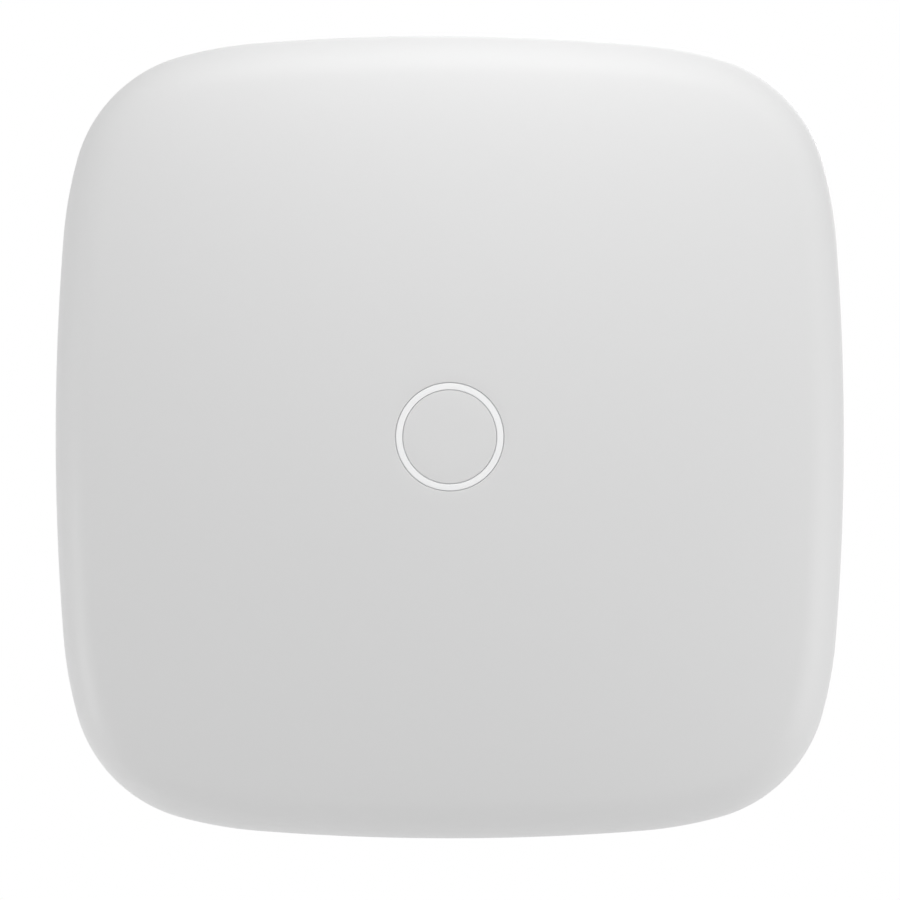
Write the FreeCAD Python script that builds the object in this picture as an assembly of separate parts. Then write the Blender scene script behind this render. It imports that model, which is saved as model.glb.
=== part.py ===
import FreeCAD, Part
import math
import os

# Alarm control panel: a wall-hung hub of white plastic on a slide-on bracket, in millimetres.
# The pieces are drawn lying on their back: X to the right, Y up the wall, Z out from the wall.
# The last step turns them upright, so that the wall is the plane Y 0 and the face looks to -Y.

Vector = FreeCAD.Vector
out = Vector(0, 0, 1)
up = Vector(0, 1, 0)
right = Vector(1, 0, 0)

# Whole panel
panel_width = 163.0
panel_height = 166.0
panel_depth = 36.0
corner_radius = 30.3
blend_radius = 86.0
flank_turn = 4.5
blend_turn = 15.5

# Cutters run past the faces that they open, and fused pieces start a little inside
past = 1.0
weld = 0.1

# Front cover
cover_wall = 2.5
crown_radius = 130.0
crown_reach = 28.0
shoulder_radius = 10.0
draft = 6.0
shoulder_flats = 3
crown_flats = 2
fit_gap = 0.3

# Light in the middle of the face
ring_radius = 11.0
ring_width = 1.3
ring_gap = 0.15
lens_flange_radius = 13.5
lens_flange = 1.6
baffle_wall = 1.5
baffle_step = 0.5
lens_sides = 24
led_count = 8
led_circle = 7.6
led_length = 3.5
led_width = 2.8
led_height = 1.2

# Wall bracket
bracket_depth = 4.0
bracket_set_back = 0.4
bracket_edge = 0.6
bracket_rim = 2.0
bracket_web = 2.2
rib_pitch = 40.0
rib_width = 1.2
wall_screw_across = 90.0
wall_screw_up = 104.0
wall_screw_hole = 2.25
wall_screw_head = 4.5
wall_screw_floor = 1.5
screw_seat_radius = 6.5
window_width = 60.0
window_height = 26.0
window_corner = 4.0
window_drop = 4.0
notch_height = 8.0
slide_gap = 0.3
stud_sides = 8
can_sides = 12

# Hooks on the bracket and the slots that hang on them
hook_x = 59.0
hook_heights = (26.0, -30.0)
hook_neck = 4.0
hook_head = 11.0
hook_height = 8.0
hook_thickness = 2.0
hook_gap = 0.2
slot_side_gap = 0.3
slot_end_gap = 0.5
slide_travel = 12.0
pocket_wall = 1.2
hook_sink = 1.1

# Rear housing
back_plate = 2.2
rear_rim_height = 5.5
rear_rim_wall = 1.8
bay_width = 88.0
bay_edge = 15.0
bay_high = -30.0
bay_depth = 14.9
bay_wall = 1.8
outlet_width = 40.0
outlet_depth = 7.7
outlet_reach = 15.0
duct_start = 7.0

# Case screws
case_screw_x = 57.0
case_screw_y = 57.0
case_screw_radius = 1.5
case_screw_head = 2.8
case_screw_head_height = 2.0
case_screw_sink = 0.7
case_screw_bite = 10.0
case_screw_gap = 0.2
case_boss_radius = 4.0
case_seat_radius = 5.0
pilot_room = 1.0

# Circuit boards
board_thickness = 1.6
board_level = 20.0
board_bottom = -26.0
main_left = -16.0
main_right = 62.0
main_top = 47.0
mains_left = -64.0
mains_right = -19.0
mains_top = 44.0
board_post_radius = 3.0
board_screw_radius = 1.1
board_screw_head = 2.1
board_screw_head_height = 1.4
board_screw_bite = 6.0
board_screw_gap = 0.15
main_screw_places = ((-12.0, 43.0), (58.0, 43.0), (58.0, -21.0), (-12.0, -22.0))
mains_screw_places = ((-60.0, 40.0), (-23.0, 40.0), (-46.0, -22.5))

# Sockets in the connector bay
inlet_x = -30.0
inlet_width = 20.0
inlet_thickness = 12.0
inlet_length = 20.0
inlet_lobe = 4.2
inlet_waist = 3.5
inlet_corner = 1.2
inlet_cavity = 14.0
pin_pitch = 8.6
pin_radius = 1.2
pin_length = 10.0
lan_x = 24.0
lan_width = 16.0
lan_height = 13.3
lan_length = 21.0
lan_sheet = 0.4
lan_mouth_width = 11.8
lan_mouth_height = 8.0
lan_mouth_depth = 13.5
lan_key_width = 6.0
lan_key_depth = 1.6
contact_count = 8
contact_pitch = 1.02
contact_width = 0.35
contact_thickness = 0.4
contact_start = 5.0
contact_drop = 1.8
sim_x = -2.0
sim_width = 14.0
sim_length = 16.0
sim_height = 3.0
sim_slot = 1.4
sim_sheet = 0.3
sim_rail = 0.8
sim_stop = 1.5
socket_gap = 0.2

# Cable clamp in the bay
clamp_length = 36.0
clamp_width = 8.0
clamp_thickness = 2.8
clamp_edge = 8.0
clamp_corner = 2.0
clamp_groove = 4.0
clamp_groove_rise = 2.0
clamp_post = 3.2
clamp_screw_head = 2.6
clamp_screw_head_height = 1.8
clamp_screw_x = 13.0
cable_space = 5.8

# Power button
button_x = 52.0
button_y = -5.0
button_radius = 3.3
button_flange = 4.2
button_flange_thickness = 1.2
button_recess = 0.4
button_travel = 0.8
button_gap = 0.3
boss_wall = 1.2
stem_step = 0.25
switch_size = 6.0
switch_height = 3.5
switch_base = 0.8
switch_gap = 0.15
switch_actuator_radius = 1.75
actuator_rise = 1.3

# Tamper plunger
tamper_x = 6.5
tamper_y = 43.0
tamper_travel = 1.5
plunger_radius = 1.5
plunger_flange = 2.7
plunger_flange_thickness = 1.0
plunger_hole_gap = 0.5
plunger_reach = 0.6
tamper_switch_size = 7.0
plunger_tip_gap = 0.2
plunger_chamfer = 1.0
spring_wire = 0.4
spring_radius = 2.3
spring_turns = 3
spring_length = 5.2
tab_size = 24.0
tab_y = 50.0
tab_slot = 0.8
tab_frame = 2.0
tamper_window_width = 8.0
tamper_window_start = 0.7
tamper_window_end = 3.0
tab_bridge = 3.0
tab_screw_x = -6.0

# Battery
battery_width = 50.0
battery_height = 34.0
battery_thickness = 10.0
battery_corner = 2.0
battery_left = -4.0
battery_low = 0.0
pad_thickness = 2.0
pad_margin = 4.0
header_gap = 0.5
header_width = 4.0
header_length = 8.0
header_height = 5.0
header_y = 17.0
lead_width = 4.0
lead_thickness = 1.2
lead_bend = 0.5
lead_drop = 1.0

# Parts on the mains board, all on its wall side
part_space = 1.8
transformer_x = -37.0
transformer_y = 16.0
transformer_core = 16.0
transformer_winding = 20.0
transformer_step = 2.0
transformer_base = 2.6
transformer_top_gap = 0.4
transformer_core_gap = 1.0
can_radius = 4.0
input_can_places = ((-46.0, -12.0), (-46.0, -2.0))
output_can_places = ((-25.0, 30.0), (-25.0, 20.0))
fuse_x = -24.0
fuse_y = 1.0
fuse_radius = 2.4
fuse_length = 12.0
fuse_lift = 2.0
fuse_foot_width = 2.0
fuse_foot_length = 1.4
choke_x = -36.0
choke_y = -1.0
choke_radius = 5.0
choke_bore = 2.2
choke_height = 6.0
choke_foot = 2.5
choke_foot_width = 8.0
rectifier_x = -56.5
rectifier_y = 2.0
rectifier_width = 8.0
rectifier_height = 6.0
rectifier_thickness = 2.6
film_thickness = 0.5
film_margin = 2.5
film_side = 0.5
divider_low_gap = 2.0
divider_high_gap = 7.8

# Parts on the front of the main board
modem_x = 35.0
modem_y = 21.0
modem_size = 26.0
modem_height = 3.0
radio_x = 44.0
radio_y = -13.0
radio_size = 18.0
radio_height = 2.6
can_sheet = 0.3
processor_x = 24.0
processor_y = -4.0
processor_size = 12.0
processor_thickness = 1.2
magnetics_length = 16.0
magnetics_width = 8.0
magnetics_height = 5.0
magnetics_y = -19.0
antenna_places = (20.0, 44.0)
antenna_width = 14.0
antenna_height = 7.0
antenna_sheet = 0.5
antenna_foot = 6.0
link_x = (-27.0, -8.5)
link_y = 34.0
link_socket_width = 8.0
link_socket_depth = 5.0
link_socket_height = 4.0
link_width = 3.6
link_rise = 2.4

# Levels and places that follow from the sizes above
back = bracket_depth+slide_gap
plate_top = back+back_plate
face_inside = panel_depth-cover_wall
board_top = board_level+board_thickness
bay_top = back+bay_depth
bay_low = bay_edge-panel_height/2
hook_under = plate_top+hook_gap
hook_top = hook_under+hook_thickness
rear_rim_top = plate_top+rear_rim_height
case_screw_end = rear_rim_top+fit_gap+case_screw_bite
main_outline = (main_left, main_right, board_bottom, main_top)
mains_outline = (mains_left, mains_right, board_bottom, mains_top)
window_y = (bay_low+bay_high)/2-window_drop
clamp_y = bay_low+clamp_edge
tamper_flange_low = plate_top+tamper_travel+fit_gap
tamper_spring_low = tamper_flange_low+plunger_flange_thickness
tamper_seat = tamper_spring_low+spring_length
switch_low = board_level-switch_height
actuator_low = switch_low-actuator_rise
parts_low = plate_top+part_space
header_x = battery_left+battery_width+header_gap+header_width/2
header_low = board_level-header_height

pieces = {}


# Basic solids, each named by its limits along X, Y and Z

def block(x0, x1, y0, y1, z0, z1):
    return Part.makeBox(x1-x0, y1-y0, z1-z0, Vector(x0, y0, z0))


def centred(x, y, width, height, z0, z1):
    return block(x-width/2, x+width/2, y-height/2, y+height/2, z0, z1)


def rod(x, y, radius, z0, z1):
    return Part.makeCylinder(radius, z1-z0, Vector(x, y, z0), out)


def tube(x, y, outer, inner, z0, z1):
    return rod(x, y, outer, z0, z1).cut(rod(x, y, inner, z0, z1))


# Screws, posts, cans and their holes inside the case have flat sides
def many_sided(x, y, radius, level, sides):
    turns = [2*math.pi*(side+0.5)/sides for side in range(sides)]
    corners = [Vector(x+radius*math.cos(t), y+radius*math.sin(t), level) for t in turns]
    return Part.makePolygon(corners+corners[:1])


def stud(x, y, radius, z0, z1, sides=stud_sides):
    return Part.Face(many_sided(x, y, radius, z0, sides)).extrude(out*(z1-z0))


def rod_up(x, z, radius, y0, y1):
    return Part.makeCylinder(radius, y1-y0, Vector(x, y0, z), up)


def joined(solids):
    return solids[0].fuse(list(solids[1:])).removeSplitter()


def rounded(solid, radius, direction):
    along = [e for e in solid.Edges if abs(abs(e.tangentAt(e.FirstParameter).dot(direction))-1) < 1e-6]
    return solid.makeFillet(radius, along)


# Squircle outline of sixteen tangent arcs

def outline_arcs():
    flank, blend = math.radians(flank_turn), math.radians(blend_turn)
    turn = math.cos(flank)-math.cos(blend)+math.sin(blend)-math.sin(flank)
    fixed = blend_radius*turn+corner_radius*(math.cos(blend)-math.sin(blend))
    across, along = panel_width/2-fixed, panel_height/2-fixed
    c, s = 1-math.cos(flank), math.sin(flank)
    side_radius = (across*c-along*s)/(c*c-s*s)
    top_radius = (along*c-across*s)/(c*c-s*s)
    radii = [side_radius, blend_radius, corner_radius, blend_radius,
             top_radius, blend_radius, corner_radius, blend_radius]*2
    marks = [quarter*math.pi/2+turn for quarter in range(4)
             for turn in (-flank, flank, blend, math.pi/2-blend)]
    marks.append(2*math.pi-flank)
    centre = Vector(panel_width/2-side_radius, 0, 0)
    arcs = []
    for number, radius in enumerate(radii):
        arcs.append((centre, radius, marks[number], marks[number+1]))
        step = radius-radii[(number+1) % len(radii)]
        centre = centre+Vector(math.cos(marks[number+1]), math.sin(marks[number+1]), 0)*step
    return arcs


def outline(inset, level):
    edges = []
    for centre, radius, start, end in outline_arcs():
        turns = (start, (start+end)/2, end)
        points = [centre+Vector(math.cos(t), math.sin(t), 0)*(radius-inset) for t in turns]
        edges.append(Part.Arc(*[p+out*level for p in points]).toShape())
    return Part.Wire(edges)


def slab(inset, z0, z1):
    return Part.Face(outline(inset, z0)).extrude(out*(z1-z0))


# A profile is drawn in the XZ plane with the outline at X 0, and turned about each arc's centre
def wrapped(edges):
    faces = []
    for centre, radius, start, end in outline_arcs():
        profile = Part.Wire(edges)
        profile.translate(right*radius)
        profile.rotate(Vector(), out, math.degrees(start))
        profile.translate(centre)
        faces += profile.revolve(centre, out, math.degrees(end-start)).Faces
    for end in (edges[0].firstVertex().Point, edges[-1].lastVertex().Point):
        faces.append(Part.Face(outline(-end.x, end.z)))
    shell = Part.makeShell(faces)
    shell.sewShape()
    solid = Part.makeSolid(shell)
    if solid.Volume < 0:
        solid.reverse()
    return solid


def lines(*points):
    corners = [Vector(-inset, 0, level) for inset, level in points]
    return [Part.makeLine(a, b) for a, b in zip(corners, corners[1:])]


# Cover section: a drafted skirt, a round shoulder and a long crown arc, at any depth in the wall

def skirt_inset(level, within):
    lean = math.radians(draft)
    tilt = math.asin((crown_reach-shoulder_radius)/(crown_radius-shoulder_radius))
    shoulder_level = panel_depth-crown_radius+(crown_radius-shoulder_radius)*math.cos(tilt)
    start = shoulder_level-shoulder_radius*math.sin(lean)
    return (start-level)*math.tan(lean)+shoulder_radius*(1-math.cos(lean))+within/math.cos(lean)


def cover_section(within, low):
    lean = math.radians(draft)
    tilt = math.asin((crown_reach-shoulder_radius)/(crown_radius-shoulder_radius))
    crown_centre = Vector(-crown_reach, 0, panel_depth-crown_radius)
    shoulder_centre = crown_centre+Vector(math.sin(tilt), 0, math.cos(tilt))*(crown_radius-shoulder_radius)

    def skin(centre, radius, turn):
        return centre+Vector(math.sin(turn), 0, math.cos(turn))*(radius-within)

    end = math.pi/2+lean
    foot = Vector(-skirt_inset(low, within), 0, low)
    skirt_top = skin(shoulder_centre, shoulder_radius, end)
    shoulder_middle = skin(shoulder_centre, shoulder_radius, (tilt+end)/2)
    crown = [skin(crown_centre, crown_radius, tilt*(1-part/crown_flats)) for part in range(crown_flats+1)]
    return [Part.makeLine(foot, skirt_top),
            Part.Arc(skirt_top, shoulder_middle, crown[0]).toShape()] + [
            Part.makeLine(a, b) for a, b in zip(crown, crown[1:])]


# Inside the cover the same section is cut as short flats, a wall's thickness in
def cover_hollow():
    skirt, shoulder, *crown = cover_section(cover_wall, back-past)
    points = [skirt.valueAt(skirt.FirstParameter), skirt.valueAt(skirt.LastParameter)]
    first, last = shoulder.ParameterRange
    step = (last-first)/shoulder_flats
    points += [shoulder.valueAt(first+step*part) for part in range(1, shoulder_flats+1)]
    points.append(crown[-1].valueAt(crown[-1].LastParameter))
    return [Part.makeLine(a, b) for a, b in zip(points, points[1:])]


def four(x, y):
    return [(side*x, end*y) for side in (-1, 1) for end in (-1, 1)]


# Front cover: the domed shell with its screw bosses, the hole for the light and the cable outlet

def front_cover():
    shell = wrapped(cover_section(0, back)).cut(wrapped(cover_hollow()))
    bosses = [stud(x, y, case_boss_radius, rear_rim_top+fit_gap, face_inside+cover_wall/2)
              for x, y in four(case_screw_x, case_screw_y)]
    pilots = [stud(x, y, case_screw_radius, rear_rim_top, case_screw_end+pilot_room)
              for x, y in four(case_screw_x, case_screw_y)]
    hole = rod(0, 0, ring_radius+ring_gap, face_inside-past, panel_depth+past)
    outlet = centred(0, -panel_height/2, outlet_width, 2*outlet_reach, back-past, back+outlet_depth)
    return joined([shell]+bosses).cut(pilots+[hole, outlet])


# Light ring: a clear disc behind the face with a raised ring, and a plain disc inside the ring

def light_ring_lens():
    flange = stud(0, 0, lens_flange_radius, face_inside-lens_flange, face_inside, lens_sides)
    ring = tube(0, 0, ring_radius, ring_radius-ring_width, face_inside, panel_depth)
    return joined([flange, ring])


def face_disc():
    return rod(0, 0, ring_radius-ring_width-ring_gap, face_inside, panel_depth)


def light_baffle():
    outer = lens_flange_radius-baffle_step
    low, high = board_top, face_inside-lens_flange
    inside = stud(0, 0, outer-baffle_wall, low, high, can_sides)
    return stud(0, 0, outer, low, high, can_sides).cut(inside)


def status_leds():
    leds = []
    for number in range(led_count):
        led = centred(led_circle, 0, led_length, led_width, board_top, board_top+led_height)
        led.rotate(Vector(), out, 360*(number+0.5)/led_count)
        leds.append(led)
    return Part.makeCompound(leds)


# Wall bracket: a thin tray with ribs to the wall, screw seats, tamper tab and cable window

def hook_place(y, side, low, high):
    return centred(side*hook_x, y, hook_neck, hook_height, low, high)


# The four hooks are pressed into the tray, and the hub's slots slide down behind their heads
def bracket_hooks():
    hooks = []
    for y in hook_heights:
        for side in (-1, 1):
            head = centred(side*hook_x, y, hook_head, hook_height, hook_under, hook_top)
            hooks.append(joined([hook_place(y, side, bracket_depth-hook_sink, hook_under), head]))
    return Part.makeCompound(hooks)


def bracket_pockets():
    inset = skirt_inset(back, 0)+bracket_set_back+bracket_rim
    depth = bracket_depth-bracket_web
    pocket = slab(inset, -past, depth)
    reach = int(panel_width/2/rib_pitch)
    ribs = []
    for number in range(-reach, reach+1):
        place = number*rib_pitch
        ribs.append(centred(place, 0, rib_width, panel_height, -past, depth))
        ribs.append(centred(0, place, panel_width, rib_width, -past, depth))
    seats = [stud(x, y, screw_seat_radius, -past, depth, can_sides)
             for x, y in four(wall_screw_across/2, wall_screw_up/2)]
    reach = tab_size+2*(tab_slot+tab_frame)
    tab = centred(0, tab_y, reach, reach, -past, depth)
    frame = centred(0, window_y, window_width+2*rib_width, window_height+2*rib_width, -past, depth)
    return pocket.cut(ribs+seats+[tab, frame])


def through(x, y, width, height):
    return centred(x, y, width, height, -past, bracket_depth+past)


def tab_outline():
    reach = tab_size+2*tab_slot
    ring = through(0, tab_y, reach, reach).cut(through(0, tab_y, tab_size, tab_size))
    return ring.cut([through(0, tab_y, 2*tab_size, tab_bridge), through(0, tab_y, tab_bridge, 2*tab_size)])


# The plunger rests on the tab's plate, and springs out into this window when the hub is lifted
def tamper_window():
    low, high = tamper_y+tamper_window_start, tamper_y+slide_travel+tamper_window_end
    return through(tamper_x, (low+high)/2, tamper_window_width, high-low)


def wall_screw_seat(x, y):
    hole = rod(x, y, wall_screw_hole, -past, bracket_depth+past)
    return hole.fuse(stud(x, y, wall_screw_head, wall_screw_floor, bracket_depth+past, can_sides))


def mounting_bracket():
    inset = skirt_inset(back, 0)+bracket_set_back
    tray = wrapped(lines((inset, 0), (inset, bracket_depth-bracket_edge),
                         (inset+bracket_edge, bracket_depth)))
    tray = tray.cut(bracket_pockets())
    cuts = [hook_place(y, side, bracket_depth-hook_sink, bracket_depth+past)
            for y in hook_heights for side in (-1, 1)]
    cuts += [tab_outline(), tamper_window(), wall_screw_seat(tab_screw_x, tab_y)]
    cuts += [wall_screw_seat(x, y) for x, y in four(wall_screw_across/2, wall_screw_up/2)]
    cuts.append(rounded(through(0, window_y, window_width, window_height), window_corner, out))
    cuts.append(through(0, -panel_height/2, outlet_width, 2*notch_height))
    return tray.cut(cuts)


# Rear housing: the back plate with its rim, the slots, the connector bay and the board posts

def hook_pocket(y, side, margin):
    low = y-slide_travel-hook_height/2-slot_end_gap-margin
    high = y+hook_height/2+hook_gap+margin
    width = hook_head+2*slot_side_gap+2*margin
    return block(side*hook_x-width/2, side*hook_x+width/2, low, high,
                 plate_top-weld, hook_top+slide_gap+margin)


def hook_slot(y, side):
    window = centred(side*hook_x, y-slide_travel, hook_head+2*slot_side_gap, hook_height+2*slot_end_gap,
                     back-past, plate_top+weld)
    channel = block(side*hook_x-hook_neck/2-slot_side_gap, side*hook_x+hook_neck/2+slot_side_gap,
                    y-slide_travel, y+hook_height/2+hook_gap, back-past, plate_top+weld)
    return window.fuse([channel, hook_pocket(y, side, 0)])


def bay(margin, low):
    return block(-bay_width/2-margin, bay_width/2+margin, bay_low-margin, bay_high+margin,
                 low, bay_top+margin)


def outlet_duct(margin, low):
    return block(-outlet_width/2-margin, outlet_width/2+margin,
                 duct_start-panel_height/2-margin, bay_low+past, low, back+outlet_depth+margin)


def board_posts():
    return [stud(x, y, board_post_radius, plate_top-weld, board_level)
            for x, y in main_screw_places+mains_screw_places]


def board_pilots():
    return [stud(x, y, board_screw_radius, board_level-board_screw_bite-pilot_room, board_level+past)
            for x, y in main_screw_places+mains_screw_places]


# The sockets come through the top wall of the bay
def socket_windows():
    sockets = ((inlet_x, inlet_width, inlet_thickness), (lan_x, lan_width, lan_height),
               (sim_x, sim_width, sim_height))
    return [block(x-width/2-socket_gap, x+width/2+socket_gap, bay_high-past, bay_high+bay_wall+past,
                  board_level-thickness-socket_gap, bay_top+bay_wall+past) for x, width, thickness in sockets]


def bosses():
    feet = [stud(x, y, case_seat_radius, plate_top-weld, rear_rim_top)
            for x, y in four(case_screw_x, case_screw_y)]
    feet.append(stud(button_x, button_y, button_flange+button_gap+boss_wall, plate_top-weld, rear_rim_top))
    feet.append(stud(tamper_x, tamper_y, plunger_flange+button_gap+boss_wall,
                     plate_top-weld, tamper_seat-fit_gap))
    return feet


def boss_holes():
    seat = back+case_screw_sink+case_screw_head_height
    holes = []
    for x, y in four(case_screw_x, case_screw_y):
        holes.append(stud(x, y, case_screw_radius+case_screw_gap, back-past, rear_rim_top+past))
        holes.append(stud(x, y, case_screw_head+fit_gap, back-past, seat))
    holes.append(rod(button_x, button_y, button_radius+button_gap, back-past, plate_top+past))
    holes.append(stud(button_x, button_y, button_flange+button_gap, plate_top, rear_rim_top+past))
    holes.append(stud(tamper_x, tamper_y, plunger_radius+plunger_hole_gap, back-past, plate_top+past))
    holes.append(stud(tamper_x, tamper_y, plunger_flange+button_gap, plate_top, board_level))
    return holes


def rear_housing():
    within = cover_wall+fit_gap
    low, high = skirt_inset(back, within), skirt_inset(rear_rim_top, within)
    body = wrapped(lines((low, back), (high, rear_rim_top)))
    within += rear_rim_wall
    low, high = skirt_inset(plate_top, within), skirt_inset(rear_rim_top+past, within)
    body = body.cut(wrapped(lines((low, plate_top), (high, rear_rim_top+past))))
    hooks = [(y, side) for y in hook_heights for side in (-1, 1)]
    added = [hook_pocket(y, side, pocket_wall) for y, side in hooks]
    added += [bay(bay_wall, back), outlet_duct(bay_wall, back)]
    body = joined([body]+added+board_posts()+bosses())
    cuts = [hook_slot(y, side) for y, side in hooks]
    cuts += [bay(0, back-past), outlet_duct(0, back-past)]
    cuts.append(centred(0, -panel_height/2, outlet_width, 2*outlet_reach, back-past, back+outlet_depth))
    cuts += board_pilots()+boss_holes()+socket_windows()
    clamp_posts = [stud(x, clamp_y, clamp_post, bay_top-cable_space, bay_top+weld)
                   for x in (-clamp_screw_x, clamp_screw_x)]
    pilots = [stud(x, clamp_y, board_screw_radius, bay_top-cable_space-past, bay_top)
              for x in (-clamp_screw_x, clamp_screw_x)]
    return joined([body.cut(cuts)]+clamp_posts).cut(pilots)


def screw(x, y, head_low, head_height, head_radius, radius, end):
    head = stud(x, y, head_radius, head_low, head_low+head_height)
    return head.fuse(stud(x, y, radius, head_low+head_height, end))


def case_screws():
    return Part.makeCompound([screw(x, y, back+case_screw_sink, case_screw_head_height, case_screw_head,
                                    case_screw_radius, case_screw_end)
                              for x, y in four(case_screw_x, case_screw_y)])


def board_screws(places):
    screws = []
    for x, y in places:
        head = stud(x, y, board_screw_head, board_top, board_top+board_screw_head_height)
        shank = stud(x, y, board_screw_radius, board_level-board_screw_bite, board_top)
        screws.append(head.fuse(shank))
    return Part.makeCompound(screws)


def board(limits, places):
    holes = [stud(x, y, board_screw_radius+board_screw_gap, board_level-past, board_top+past)
             for x, y in places]
    return block(*limits, board_level, board_top).cut(holes)


# Mains inlet: a two-pin socket that opens downwards

def inlet_cavity_solid():
    z = board_level-inlet_thickness/2
    low, high = bay_high-past, bay_high+inlet_cavity
    lobes = [rod_up(inlet_x+side*pin_pitch/2, z, inlet_lobe, low, high) for side in (-1, 1)]
    waist = block(inlet_x-pin_pitch/2, inlet_x+pin_pitch/2, low, high, z-inlet_waist, z+inlet_waist)
    return joined(lobes+[waist])


def mains_inlet():
    low, high = bay_high, bay_high+inlet_length
    z = board_level-inlet_thickness/2
    body = block(inlet_x-inlet_width/2, inlet_x+inlet_width/2, low, high,
                 board_level-inlet_thickness, board_level)
    holes = [rod_up(inlet_x+side*pin_pitch/2, z, pin_radius, low, high) for side in (-1, 1)]
    return rounded(body, inlet_corner, up).cut([inlet_cavity_solid()]+holes)


def inlet_pins():
    z = board_level-inlet_thickness/2
    low = bay_high+inlet_cavity-pin_length
    return Part.makeCompound([rod_up(inlet_x+side*pin_pitch/2, z, pin_radius, low, bay_high+inlet_length)
                              for side in (-1, 1)])


# Network socket: a folded metal shell, its insert and eight contacts

def lan_jack_shell():
    low, high = bay_high, bay_high+lan_length
    z0, z1 = board_level-lan_height, board_level
    outer = block(lan_x-lan_width/2, lan_x+lan_width/2, low, high, z0, z1)
    inner = block(lan_x-lan_width/2+lan_sheet, lan_x+lan_width/2-lan_sheet, low-past, high-lan_sheet,
                  z0+lan_sheet, z1+past)
    return outer.cut(inner)


def lan_jack_insert():
    low, high = bay_high, bay_high+lan_length-lan_sheet
    z0, z1 = board_level-lan_height+lan_sheet, board_level
    body = block(lan_x-lan_width/2+lan_sheet, lan_x+lan_width/2-lan_sheet, low+fit_gap, high, z0, z1)
    middle = (z0+z1)/2
    mouth = block(lan_x-lan_mouth_width/2, lan_x+lan_mouth_width/2, low-past, low+lan_mouth_depth,
                  middle-lan_mouth_height/2, middle+lan_mouth_height/2)
    key = block(lan_x-lan_key_width/2, lan_x+lan_key_width/2, low-past, low+lan_mouth_depth,
                middle-lan_mouth_height/2-lan_key_depth, middle)
    return body.cut([mouth, key])


def lan_jack_contacts():
    level = board_level-lan_height/2+lan_sheet/2+lan_mouth_height/2-contact_thickness
    start, end = bay_high+contact_start, bay_high+lan_mouth_depth
    contacts = []
    for number in range(contact_count):
        x = lan_x+(number-(contact_count-1)/2)*contact_pitch
        left, far = x-contact_width/2, x+contact_width/2
        blade = block(left, far, start, end, level-contact_thickness, level)
        tail = block(left, far, end-contact_thickness, end, level-contact_thickness-contact_drop, level)
        contacts.append(joined([blade, tail]))
    return Part.makeCompound(contacts)


def sim_holder():
    low, high = bay_high, bay_high+sim_length
    left, far = sim_x-sim_width/2, sim_x+sim_width/2
    z0 = board_level-sim_height
    split = z0+sim_sheet+sim_slot
    base = block(left, far, low, high, split, board_level)
    shell = block(left, far, low, high, z0, split)
    tray = block(left+sim_rail, far-sim_rail, low-past, high-sim_stop, z0+sim_sheet, split+past)
    return base, shell.cut(tray)


# Cable clamp

def cable_clamp():
    high = bay_top-cable_space
    bar = centred(0, clamp_y, clamp_length, clamp_width, high-clamp_thickness, high)
    bar = rounded(bar, clamp_corner, out)
    holes = [stud(x, clamp_y, board_screw_radius+board_screw_gap, high-clamp_thickness-past, high+past)
             for x in (-clamp_screw_x, clamp_screw_x)]
    groove = rod_up(0, high+clamp_groove_rise, clamp_groove, clamp_y-clamp_width, clamp_y+clamp_width)
    return bar.cut(holes+[groove])


def clamp_screws():
    seat = bay_top-cable_space-clamp_thickness
    low = seat-clamp_screw_head_height
    return Part.makeCompound([screw(x, clamp_y, low, clamp_screw_head_height, clamp_screw_head,
                                    board_screw_radius, bay_top-fit_gap)
                              for x in (-clamp_screw_x, clamp_screw_x)])


# Power button: cap, flange and stem, the switch on the board and its actuator

def power_button_cap():
    flange_low = plate_top+button_gap
    cap = rod(button_x, button_y, button_radius, back+button_recess, flange_low)
    flange_high = flange_low+button_flange_thickness
    flange = stud(button_x, button_y, button_flange, flange_low, flange_high)
    stem = stud(button_x, button_y, switch_actuator_radius-stem_step, flange_high, actuator_low)
    return joined([cap, flange, stem])


def power_switch():
    body = centred(button_x, button_y, switch_size, switch_size, switch_low, board_level)
    return body.cut(stud(button_x, button_y, switch_actuator_radius+switch_gap,
                         switch_low-past, board_level-switch_base))


def power_switch_actuator():
    return stud(button_x, button_y, switch_actuator_radius, actuator_low,
                board_level-switch_base-button_travel-fit_gap)


# Tamper contact: a sprung plunger that feels the bracket's tab, and its switch

def tamper_plunger():
    tip = bracket_depth+plunger_tip_gap
    shoulder = tip+plunger_chamfer
    blunt = many_sided(tamper_x, tamper_y, plunger_radius-plunger_chamfer, tip, stud_sides)
    full = many_sided(tamper_x, tamper_y, plunger_radius, shoulder, stud_sides)
    nose = Part.makeLoft([blunt, full], True, True)
    stem = stud(tamper_x, tamper_y, plunger_radius, shoulder, tamper_seat+tamper_travel+plunger_reach)
    flange = stud(tamper_x, tamper_y, plunger_flange, tamper_flange_low, tamper_spring_low)
    return joined([stem, nose, flange])


def tamper_spring():
    low = tamper_spring_low+spring_wire/2
    high = tamper_seat-spring_wire/2
    helix = Part.makeHelix((high-low)/spring_turns, high-low, spring_radius)
    half = spring_wire/2
    corners = [Vector(spring_radius+x, 0, z)
               for x, z in ((-half, -half), (half, -half), (half, half), (-half, half))]
    section = Part.makePolygon(corners+corners[:1])
    coil = Part.Wire(helix.Edges).makePipeShell([section], True, True)
    coil.translate(Vector(tamper_x, tamper_y, low))
    return coil


def tamper_switch():
    body = centred(tamper_x, tamper_y, tamper_switch_size, tamper_switch_size, tamper_seat, board_level)
    hole = stud(tamper_x, tamper_y, plunger_radius+fit_gap, tamper_seat-past, board_level-switch_base)
    return body.cut(hole)


# Battery with its foam pad and lead

def battery_cell():
    low = plate_top+pad_thickness
    cell = block(battery_left, battery_left+battery_width, battery_low, battery_low+battery_height,
                 low, low+battery_thickness)
    return rounded(cell, battery_corner, up)


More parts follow.
